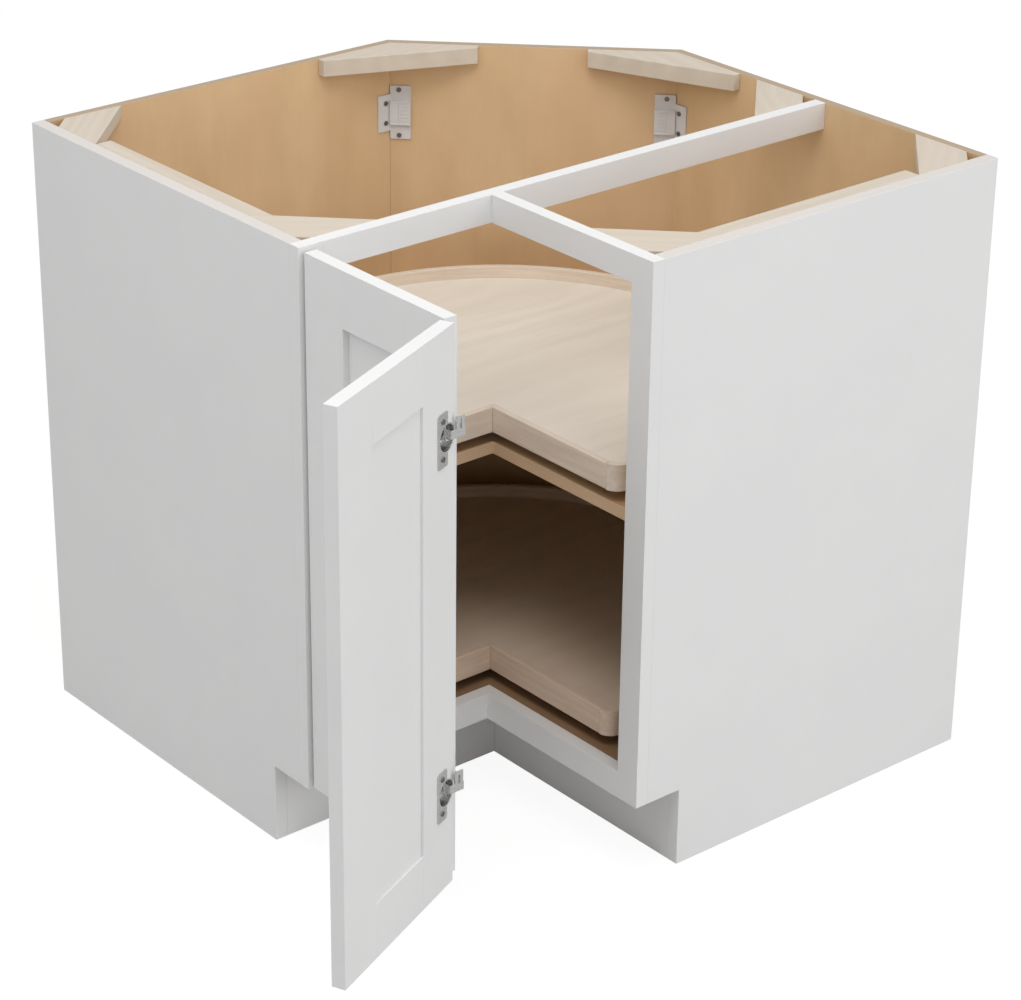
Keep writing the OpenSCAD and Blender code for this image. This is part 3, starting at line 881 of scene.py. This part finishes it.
class Bench:
    """Shapes one piece at a time with Blender's own tools."""

    @staticmethod
    def clear() -> None:
        """Deselects every object."""
        for obj in list(bpy.context.selected_objects):
            obj.select_set(False)

    @classmethod
    def hold(cls, obj: bpy.types.Object) -> None:
        """Selects one object and makes it active.

        Args:
            obj: The object to work on.
        """
        cls.clear()
        obj.select_set(True)
        bpy.context.view_layer.objects.active = obj

    @classmethod
    @contextmanager
    def editing(cls, obj: bpy.types.Object) -> Iterator[None]:
        """Opens a piece in edit mode, with nothing selected.

        Args:
            obj: The object to edit.

        Yields:
            Nothing; edit mode ends with the block.
        """
        cls.hold(obj)
        bpy.ops.object.mode_set(mode="EDIT")
        bpy.ops.mesh.select_all(action="DESELECT")
        try:
            yield
        finally:
            bpy.ops.object.mode_set(mode="OBJECT")

    @staticmethod
    def pick_edges(obj: bpy.types.Object, test: Callable[[bmesh.types.BMEdge], bool]) -> int:
        """Selects edges by a test, in edit mode.

        Args:
            obj: The object in edit mode.
            test: Says whether an edge is taken.

        Returns:
            The number of edges selected.
        """
        bpy.ops.mesh.select_mode(type="EDGE")
        mesh = bmesh.from_edit_mesh(obj.data)
        for edge in mesh.edges:
            edge.select = test(edge)
        mesh.select_flush_mode()
        bmesh.update_edit_mesh(obj.data)
        return sum(edge.select for edge in mesh.edges)

    @classmethod
    def round_edges(
        cls, obj: bpy.types.Object, ease: float, shortest: float, segments: int = 2
    ) -> None:
        """Eases a piece's sharp edges.

        Args:
            obj: The piece.
            ease: The width of the easing.
            shortest: The length from which an edge is eased.
            segments: The facets of an eased edge.
        """

        def sharp(edge: bmesh.types.BMEdge) -> bool:
            """Says whether an edge is long and sharp enough to be eased."""
            if len(edge.link_faces) != 2 or edge.calc_length() < shortest:
                return False
            return edge.calc_face_angle() > SHARP_ANGLE

        with cls.editing(obj):
            if cls.pick_edges(obj, sharp):
                bpy.ops.mesh.bevel(
                    offset=ease, segments=segments, affect="EDGES", clamp_overlap=False
                )
        cls.shade(obj)

    @classmethod
    def shade(cls, obj: bpy.types.Object) -> None:
        """Shades a piece so that flat faces stay flat and eased edges run smooth.

        Args:
            obj: The piece.
        """
        cls.hold(obj)
        bpy.ops.object.shade_smooth_by_angle(angle=SMOOTH_ANGLE)
        weighted = obj.modifiers.new("flat_faces", "WEIGHTED_NORMAL")
        weighted.keep_sharp = True
        bpy.ops.object.modifier_apply(modifier=weighted.name)

    @classmethod
    def block(cls, name: str, low: Vec, high: Vec, ease: float) -> bpy.types.Object:
        """Makes a block between two corners, with eased edges.

        Args:
            name: The object's name.
            low: The lowest corner.
            high: The highest corner.
            ease: The width of the easing.

        Returns:
            The block.
        """
        cls.clear()
        middle = [(a + b) / 2 for a, b in zip(low, high)]
        bpy.ops.mesh.primitive_cube_add(size=1.0, location=middle)
        obj = bpy.context.object
        obj.name = obj.data.name = name
        obj.scale = [b - a for a, b in zip(low, high)]
        bpy.ops.object.transform_apply(location=True, rotation=True, scale=True)
        cls.round_edges(obj, ease, 0.0)
        return obj

    @staticmethod
    def move(obj: bpy.types.Object, matrix: Matrix) -> None:
        """Moves a piece's mesh.

        Args:
            obj: The piece.
            matrix: The move.
        """
        obj.data.transform(matrix)
        if matrix.determinant() < 0:
            obj.data.flip_normals()
        obj.data.update()

    @classmethod
    def join(cls, name: str, parts: Sequence[bpy.types.Object]) -> bpy.types.Object:
        """Joins pieces into one.

        Args:
            name: The joined object's name.
            parts: The pieces.

        Returns:
            The joined object.
        """
        cls.hold(parts[0])
        for part in parts[1:]:
            part.select_set(True)
        bpy.ops.object.join()
        obj = bpy.context.view_layer.objects.active
        obj.name = obj.data.name = name
        return obj


@dataclass
class Workshop:
    """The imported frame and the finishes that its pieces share.

    Attributes:
        nodes: The frame's objects by name.
        bodies: The names of the nodes of each body.
        finishes: The materials made so far.
    """

    nodes: dict[str, bpy.types.Object]
    bodies: dict[str, list[str]]
    finishes: dict[str, bpy.types.Material] = field(default_factory=dict)

    def body_of(self, node: str) -> str:
        """Finds a node's body.

        Args:
            node: The node's name.

        Returns:
            The body's name.
        """
        return next(body for body, names in self.bodies.items() if node in names)

    def material(self, finish: Finish) -> bpy.types.Material:
        """Makes a finish once.

        Args:
            finish: The finish.

        Returns:
            Its material.
        """
        if finish.name not in self.finishes:
            self.finishes[finish.name] = finish.make()
        return self.finishes[finish.name]

    def dress(self, obj: bpy.types.Object, finish: Finish) -> None:
        """Puts a finish on a piece.

        Args:
            obj: The piece.
            finish: The finish.
        """
        material = self.material(finish)
        if obj.material_slots:
            for slot in obj.material_slots:
                slot.material = material
        else:
            obj.data.materials.append(material)

    def eased(
        self,
        node: str,
        finish: Finish,
        slot: Slot,
        ease: float,
        shortest: float = 0.008,
        segments: int = 2,
        extras: Sequence[bpy.types.Object] = (),
    ) -> bpy.types.Object:
        """Makes a copy of a node with eased edges that stands for the node.

        Args:
            node: The node's name.
            finish: The copy's finish.
            slot: The record's slot that the finish comes from; not used.
            ease: The width of the easing.
            shortest: The length from which an edge is eased.
            segments: The facets of an eased edge.
            extras: Pieces that are joined to the copy.

        Returns:
            The copy.
        """
        mesh = self.nodes[node].data.copy()
        mesh.materials.clear()
        obj = bpy.data.objects.new(f"{node}_piece", mesh)
        bpy.context.scene.collection.objects.link(obj)
        with Bench.editing(obj):
            bpy.ops.mesh.select_all(action="SELECT")
            bpy.ops.mesh.remove_doubles(threshold=MERGE_GAP)
            bpy.ops.mesh.dissolve_limited(angle_limit=FLAT_ANGLE)
        Bench.round_edges(obj, ease, shortest, segments)
        if extras:
            obj = Bench.join(f"{node}_piece", [obj, *extras])
        self.dress(obj, finish)
        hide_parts(node)
        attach(obj, self.body_of(node))
        LOG.info("%s: %d faces", obj.name, len(obj.data.polygons))
        return obj

    def keep(self, node: str, finish: Finish) -> None:
        """Gives a node that stays its finish.

        Args:
            node: The node's name.
            finish: The finish.
        """
        self.dress(self.nodes[node], finish)
        LOG.info("%s: kept", node)


# ---- Carcass -----------------------------------------------------------------------------------


@dataclass
class Carcass:
    """End panels, backs, floor, shelf, toe boards, fixed bearing plates and screws.

    Attributes:
        shop: The workshop.
        ease: The width of the boards' eased edges.
        back_shortest: The length from which a back panel's edge is eased.
    """

    shop: Workshop
    ease: float = 0.0007
    back_shortest: float = 0.02

    def sides(self) -> None:
        """Makes the end panels: painted outside, clear-coated inside."""
        left = Plywood("left_panel_ply", UPRIGHT_Y, HONEY, paint=PAINT)
        right = Plywood(
            "right_panel_ply", UPRIGHT_X, HONEY, paint=PAINT, clear_side=NORTH, raw_edge=EAST
        )
        self.shop.eased("left_end_panel", left, Slot.PAINT, self.ease)
        self.shop.eased("right_end_panel", right, Slot.PAINT, self.ease)

    def backs(self) -> None:
        """Makes the three back panels."""
        for node, grain in (
            ("left_back_panel", UPRIGHT_X),
            ("right_back_panel", UPRIGHT_Y),
            ("diagonal_back_panel", UPRIGHT_DIAGONAL),
        ):
            finish = Plywood(
                f"{node}_ply",
                grain,
                HONEY,
                edge_light=(0.50, 0.40, 0.29),
                edge_dark=(0.38, 0.29, 0.20),
            )
            self.shop.eased(node, finish, Slot.PLY, self.ease, self.back_shortest)

    def decks(self) -> None:
        """Makes the fixed shelf and the floor."""
        # Painted shade: the shelf's veneer is darker than the walls', and the floor's veneer and
        # edges are darker and browner still, for the shadow under the trays.
        shelf = Plywood(
            "deck_ply_painted_shade", FLAT_X, SHADED_DECK, edge_light=(0.74, 0.54, 0.36), edge_dark=(0.62, 0.43, 0.27)
        )
        floor = Plywood(
            "floor_ply_painted_shadow", FLAT_X, SHADOWED_FLOOR, edge_light=(0.40, 0.28, 0.17), edge_dark=(0.32, 0.21, 0.125)
        )
        self.shop.eased("fixed_shelf", shelf, Slot.PLY, self.ease)
        self.shop.eased("cabinet_floor", floor, Slot.PLY, self.ease)

    def toe_boards(self) -> None:
        """Makes the toe boards."""
        for side in Side:
            self.shop.eased(f"{side.value}_toe_board", PAINT, Slot.PAINT, self.ease)

    def build(self) -> None:
        """Makes all of the carcass's boards."""
        self.sides()
        self.backs()
        self.decks()
        self.toe_boards()

    def fit_hardware(self) -> None:
        """Finishes the fixed bearing plates, the balls and the screws."""
        for level in Level:
            self.shop.keep(f"{level.value}_bearing_base", BEARING_STEEL)
        self.shop.keep("bearing_balls", BALL_STEEL)
        self.shop.keep("carcass_screws", SCREW_STEEL)


@dataclass
class FaceFrame:
    """Stiles, rails and the stretcher behind them.

    Attributes:
        shop: The workshop.
        ease: The width of the eased edges.
    """

    shop: Workshop
    ease: float = 0.0004

    def build(self) -> None:
        """Makes the face frame."""
        pieces = [
            f"{side.value}_{part}" for part in ("stile", "top_rail", "bottom_rail") for side in Side
        ]
        for node in (*pieces, "top_stretcher"):
            self.shop.eased(node, PAINT, Slot.PAINT, self.ease)


@dataclass
class TopBracing:
    """Corner blocks and cleats of pale timber.

    Attributes:
        shop: The workshop.
        ease: The width of the eased edges.
        shift: How far along and across the timber's pattern moves with each letter of a name, so
            that neighbouring blocks differ.
    """

    shop: Workshop
    ease: float = 0.0009
    shift: Span = (0.37, 0.11)

    def build(self) -> None:
        """Makes the blocks and cleats, each with the grain along its long side."""
        grains = {
            "front_left_block": FLAT_CROSS,
            "front_right_block": FLAT_CROSS,
            "back_left_block": FLAT_DIAGONAL,
            "back_right_block": FLAT_DIAGONAL,
            "stretcher_block": FLAT_DIAGONAL,
            "left_diagonal_block": FLAT_X,
            "right_diagonal_block": FLAT_Y,
            "left_top_cleat": FLAT_Y,
            "right_top_cleat": FLAT_X,
        }
        for node, grain in grains.items():
            along, across = (len(node) * shift for shift in self.shift)
            finish = replace(
                CREAM, name=f"{node}_timber", grain=grain, offset=(along, across, 0.0)
            )
            self.shop.eased(node, finish, Slot.PALE, self.ease)


@dataclass
class JointBracket:
    """Ribbed bracket over the joint of a straight back and the diagonal back.

    Ribs are laid out on the boss. X runs from the joint along the diagonal back, Y through that
    back and out of the cabinet, and Z up from the boss's middle.

    Attributes:
        shop: The workshop.
        side: The leg that the bracket is on.
        middle_z: The height of the boss's middle.
        boss_depth: How far the boss stands off the diagonal back.
        ease: The width of the bracket's eased edges.
        shortest: The length from which its edges are eased.
        rib_depth: How far ribs stand off the boss.
        root: How far they reach into it.
        rail_x: Where the upper and lower rails start and end.
        rail_z: The height of the upper rail's edges; the lower one mirrors it.
        post_x: Where the post between the rails starts and ends.
        post_top: The height of the post's top.
        rail_ease: The width of the rails' eased edges.
        rib_x: Where the short ribs start and end.
        rib_steps: The short ribs' places, in pitches from the middle.
        rib_pitch: The distance between short ribs.
        rib_half: Half the height of a short rib.
        rib_ease: The width of the ribs' eased edges.
    """

    shop: Workshop
    side: Side
    middle_z: float = 0.7703
    boss_depth: float = 0.008
    ease: float = 0.0005
    shortest: float = 0.004
    rib_depth: float = 0.0012
    root: float = 0.0005
    rail_x: Span = (0.0015, 0.030)
    rail_z: Span = (0.0155, 0.018)
    post_x: Span = (0.0135, 0.0155)
    post_top: float = 0.015
    rail_ease: float = 0.0004
    rib_x: Span = (0.0175, 0.0265)
    rib_steps: tuple[int, ...] = (-2, -1, 0, 1, 2)
    rib_pitch: float = 0.0058
    rib_half: float = 0.0006
    rib_ease: float = 0.0003

    def bar(self, along: Span, upright: Span, ease: float) -> bpy.types.Object:
        """Makes one rib, rail or post on the boss's face.

        Args:
            along: Where it starts and ends.
            upright: The height of its lower and upper edges.
            ease: The width of its eased edges.

        Returns:
            The bar, in the boss's coordinates.
        """
        face = -self.boss_depth
        low = (along[0], face - self.rib_depth, upright[0])
        high = (along[1], face + self.root, upright[1])
        return Bench.block("rib", low, high, ease)

    def ribs(self) -> list[bpy.types.Object]:
        """Makes the boss's rails, post and ribs.

        Returns:
            The bars, in the frame's coordinates.
        """
        inner, outer = self.rail_z
        bars = [
            self.bar(self.rail_x, (-outer, -inner), self.rail_ease),
            self.bar(self.rail_x, (inner, outer), self.rail_ease),
            self.bar(self.post_x, (-self.post_top, self.post_top), self.rail_ease),
        ]
        for step in self.rib_steps:
            middle = step * self.rib_pitch
            edges = (middle - self.rib_half, middle + self.rib_half)
            bars.append(self.bar(self.rib_x, edges, self.rib_ease))
        turn = Matrix.Rotation(PLAN.cut_turn, 4, "Z")
        move = Matrix.Translation((PLAN.cut_inside, PLAN.wall_side - PLAN.back, self.middle_z))
        for bar in bars:
            Bench.move(bar, PLAN.side(self.side) @ move @ turn)
        return bars

    def build(self) -> None:
        """Makes the bracket."""
        self.shop.eased(
            f"{self.side.value}_joint_bracket",
            BRACKET_PLASTIC,
            Slot.PLASTIC,
            self.ease,
            self.shortest,
            extras=self.ribs(),
        )


# ---- Carousel ----------------------------------------------------------------------------------


@dataclass
class CarouselTray:
    """Pie-cut tray with its rims, bearing plate and screws.

    Attributes:
        shop: The workshop.
        level: Which of the two trays it is.
        offset: Where on the pattern the board is cut.
        tint_and_shade: The tint of the board and of the rims' tops, which is painted shade.
        rim_light_and_shade: The tint of the rims' faces, which is painted light and shade.
        rim_light: The light colour of the rims' faces, before the tint.
        rim_dark: The dark colour of the rims' faces.
        rim_top: The colour of the rims' tops.
        board_ease: The width of the board's eased edges.
        rim_ease: The width of the rims' rounded edges.
        rim_shortest: The length from which a rim's edge is rounded.
        rim_segments: The facets of a rim's rounded edge.
    """

    shop: Workshop
    level: Level
    offset: Vec
    tint_and_shade: Colour
    rim_light_and_shade: Colour
    rim_light: Colour = (0.78, 0.69, 0.59)
    rim_dark: Colour = (0.64, 0.55, 0.455)
    rim_top: Colour = (0.72, 0.64, 0.54)
    board_ease: float = 0.0006
    rim_ease: float = 0.0016
    rim_shortest: float = 0.003
    rim_segments: int = 3

    def board(self) -> None:
        """Makes the tray's board."""
        level = self.level.value
        # Painted shade: the lower tray's board is tinted darker and browner than the upper's.
        finish = replace(
            TRAY_MAPLE,
            name=f"{level}_tray_timber",
            light=tint_colour(TRAY_MAPLE.light, self.tint_and_shade),
            dark=tint_colour(TRAY_MAPLE.dark, self.tint_and_shade),
            drift=tint_colour(TRAY_MAPLE.drift, self.tint_and_shade),
            offset=self.offset,
        )
        self.shop.eased(f"{level}_tray_board", finish, Slot.TRAY, self.board_ease)

    def rims(self) -> None:
        """Makes the bent rim and the two straight rims along the pie cut."""
        level = self.level.value
        for rim, curved, grain in (
            ("arc_rim", True, FLAT_X),
            ("left_notch_rim", False, FLAT_X),
            ("right_notch_rim", False, FLAT_Y),
        ):
            # Painted light and shade: the rims' faces are tinted lighter on the upper tray and
            # darker and browner on the lower, and their tops take the board's painted shade.
            finish = BentRim(
                f"{level}_{rim}_strip",
                tint_colour(self.rim_light, self.rim_light_and_shade),
                tint_colour(self.rim_dark, self.rim_light_and_shade),
                tint_colour(self.rim_top, self.tint_and_shade),
                curved,
                grain,
            )
            self.shop.eased(
                f"{level}_tray_{rim}",
                finish,
                Slot.RIM,
                self.rim_ease,
                self.rim_shortest,
                self.rim_segments,
            )

    def build(self) -> None:
        """Makes the tray and finishes its bearing plate and screws."""
        self.board()
        self.rims()
        self.shop.keep(f"{self.level.value}_bearing_plate", BEARING_STEEL)
        self.shop.keep(f"{self.level.value}_tray_screws", SCREW_STEEL)


# ---- Door --------------------------------------------------------------------------------------


@dataclass
class DoorLeaf:
    """Frame-and-panel door leaf.

    Attributes:
        shop: The workshop.
        leaf: Which of the two leaves it is.
        stiles: The names of its two stiles.
        ease: The width of the eased edges.
        shortest: The length from which an edge is eased.
    """

    shop: Workshop
    leaf: Leaf
    stiles: tuple[str, str]
    ease: float = 0.0004
    shortest: float = 0.03

    def build(self) -> None:
        """Makes the leaf's stiles, rails and panel, and finishes its screws."""
        for part in (*self.stiles, "top_rail", "bottom_rail", "panel"):
            self.shop.eased(
                f"{self.leaf.value}_leaf_{part}", PAINT, Slot.PAINT, self.ease, self.shortest
            )
        self.shop.keep(f"{self.leaf.value}_leaf_screws", SCREW_STEEL)


@dataclass
class Hinges:
    """Cup hinges of the frame and of the fold.

    Attributes:
        shop: The workshop.
        ease: The width of the eased edges.
        shortest: The length from which an edge is eased.
    """

    shop: Workshop
    ease: float = 0.0003
    shortest: float = 0.0015

    def build(self) -> None:
        """Makes the arms and cups."""
        for part in ("arms", "cups"):
            for joint in ("frame", "fold"):
                self.shop.eased(
                    f"{joint}_hinge_{part}", NICKEL, Slot.NICKEL, self.ease, self.shortest
                )


# ---- Studio ------------------------------------------------------------------------------------


def hang(
    name: str, data: bpy.types.Camera | bpy.types.Light, place: Vec, target: Vec
) -> bpy.types.Object:
    """Puts a camera or a lamp in its place, facing a point.

    Args:
        name: The object's name.
        data: The camera or lamp.
        place: Where it is.
        target: The point that it faces.

    Returns:
        The object.
    """
    obj = bpy.data.objects.new(name, data)
    bpy.context.scene.collection.objects.link(obj)
    obj.location = place
    direction = Vector(target) - Vector(place)
    obj.rotation_euler = direction.to_track_quat("-Z", "Y").to_euler()
    return obj


@dataclass(frozen=True)
class Lamp:
    """A soft square lamp.

    Attributes:
        name: The lamp's name.
        place: Where it hangs.
        target: The point that it faces.
        size: Its side, in metres.
        power: Its power, in watts.
    """

    name: str
    place: Vec
    target: Vec
    size: float
    power: float

    def light(self) -> None:
        """Hangs the lamp."""
        data = bpy.data.lights.new(self.name, "AREA")
        data.shape = "SQUARE"
        data.size = self.size
        data.energy = self.power
        hang(self.name, data, self.place, self.target)


@dataclass
class Studio:
    """White room with soft lamps and the photograph's camera.

    Attributes:
        eye: Where the camera stands.
        aim: The point that it faces.
        lens: Its focal length, in millimetres.
        sensor: Its sensor's width, in millimetres.
        shift: The sensor's shift to the side and up, in sensor widths.
        far: The distance up to which it sees.
        floor_half: Half the floor's side.
        floor_gap: How far the floor is below the cabinet, so that their faces don't coincide.
        floor_tone: The floor's own brightness.
        floor_glow: The brightness of the white that the camera sees instead of it.
        floor_fade: The share of the floor that the white covers; the rest keeps the shadow.
        world_strength: The strength of the even light.
        lamps: The lamps.
    """

    eye: Vec = (-2.0574, -3.4523, 2.2104)
    aim: Vec = (0.2756, -0.5230, 0.4856)
    lens: float = 108.68
    sensor: float = 36.0
    shift: Span = (0.0775, -0.0415)
    far: float = 100.0
    floor_half: float = 20.0
    floor_gap: float = 0.0005
    floor_tone: float = 0.62
    floor_glow: float = 1.14
    floor_fade: float = 0.8
    world_strength: float = 0.58
    lamps: tuple[Lamp, ...] = (
        Lamp("overhead", (0.2, -0.6, 3.6), (0.4, -0.5, 0.5), 3.2, 5.0),
        Lamp("front_high", (-0.64, -1.74, 4.23), (0.4, -0.5, 0.5), 2.0, 54.0),
        Lamp("right_hand", (1.4, -4.6, 2.2), (0.4, -0.5, 0.5), 2.8, 46.0),
        Lamp("left_high", (-1.35, -0.5, 2.2), (0.0, -0.4, 0.7), 0.8, 5.2),
    )

    def camera(self) -> None:
        """Sets up the camera at the photograph's viewpoint."""
        data = bpy.data.cameras.new("camera")
        data.sensor_fit = "HORIZONTAL"
        data.sensor_width = self.sensor
        data.lens = self.lens
        data.shift_x, data.shift_y = self.shift
        data.clip_end = self.far
        bpy.context.scene.camera = hang("camera", data, self.eye, self.aim)

    def floor(self) -> None:
        """Lays the pale floor, which the camera sees as nearly white."""
        Bench.clear()
        bpy.ops.mesh.primitive_plane_add(
            size=2 * self.floor_half, location=(0, 0, -self.floor_gap)
        )
        obj = bpy.context.object
        obj.name = "floor"
        shader = Shader("pale_floor")
        tone = self.floor_tone
        shader.set(Base_Color=(tone, tone, tone), Roughness=0.9)
        white = shader.node(
            "ShaderNodeEmission", inputs={"Color": (1.0, 1.0, 1.0), "Strength": self.floor_glow}
        )
        seen = shader.node("ShaderNodeLightPath", out="Is Camera Ray")
        plain = Value(shader, shader.surface.outputs[0])
        mixed = shader.node(
            "ShaderNodeMixShader", inputs={0: seen * self.floor_fade, 1: plain, 2: white}
        )
        shader.feed(shader.output.inputs["Surface"], mixed)
        obj.data.materials.append(shader.material)

    def world(self) -> None:
        """Lights the room evenly, and shows it white to the camera and in reflections."""
        world = bpy.data.worlds.new("white_room")
        bpy.context.scene.world = world
        world.use_nodes = True
        tree = world.node_tree
        tree.nodes.clear()
        output = tree.nodes.new("ShaderNodeOutputWorld")
        soft = tree.nodes.new("ShaderNodeBackground")
        soft.inputs["Color"].default_value = (1.0, 1.0, 1.0, 1.0)
        soft.inputs["Strength"].default_value = self.world_strength
        white = tree.nodes.new("ShaderNodeBackground")
        white.inputs["Color"].default_value = (1.0, 1.0, 1.0, 1.0)
        rays = tree.nodes.new("ShaderNodeLightPath")
        seen = rays.outputs["Is Camera Ray"]
        for name in ("Is Glossy Ray", "Is Transmission Ray"):
            most = tree.nodes.new("ShaderNodeMath")
            most.operation = "MAXIMUM"
            tree.links.new(seen, most.inputs[0])
            tree.links.new(rays.outputs[name], most.inputs[1])
            seen = most.outputs[0]
        mix = tree.nodes.new("ShaderNodeMixShader")
        tree.links.new(seen, mix.inputs[0])
        tree.links.new(soft.outputs[0], mix.inputs[1])
        tree.links.new(white.outputs[0], mix.inputs[2])
        tree.links.new(mix.outputs[0], output.inputs["Surface"])

    def build(self) -> None:
        """Sets up the studio."""
        bpy.context.scene.view_settings.view_transform = "Standard"
        self.camera()
        self.floor()
        self.world()
        for lamp in self.lamps:
            lamp.light()


def main() -> None:
    """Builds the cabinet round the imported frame."""
    logging.basicConfig(level=logging.INFO, format="%(message)s", stream=sys.stdout)
    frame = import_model()
    Studio().build()
    shop = Workshop(frame["nodes"], frame["record"]["behaviour"]["bodies"])
    carcass = Carcass(shop)
    carcass.build()
    FaceFrame(shop).build()
    TopBracing(shop).build()
    for side in Side:
        JointBracket(shop, side).build()
    # Painted light and shade: the upper tray's rim faces are tinted lighter, and the lower tray's
    # board and rims darker and browner.
    CarouselTray(
        shop,
        Level.UPPER,
        offset=(0.0, 0.0, 0.0),
        tint_and_shade=(1.0, 1.0, 1.0),
        rim_light_and_shade=(1.1, 1.08, 1.07),
    ).build()
    CarouselTray(
        shop,
        Level.LOWER,
        offset=(0.83, 0.31, 0.0),
        tint_and_shade=(0.95, 0.82, 0.72),
        rim_light_and_shade=(0.95, 0.84, 0.76),
    ).build()
    carcass.fit_hardware()
    DoorLeaf(shop, Leaf.FIRST, ("hinge_stile", "fold_stile")).build()
    DoorLeaf(shop, Leaf.SECOND, ("fold_stile", "free_stile")).build()
    Hinges(shop).build()


if __name__ == "__main__":
    main()
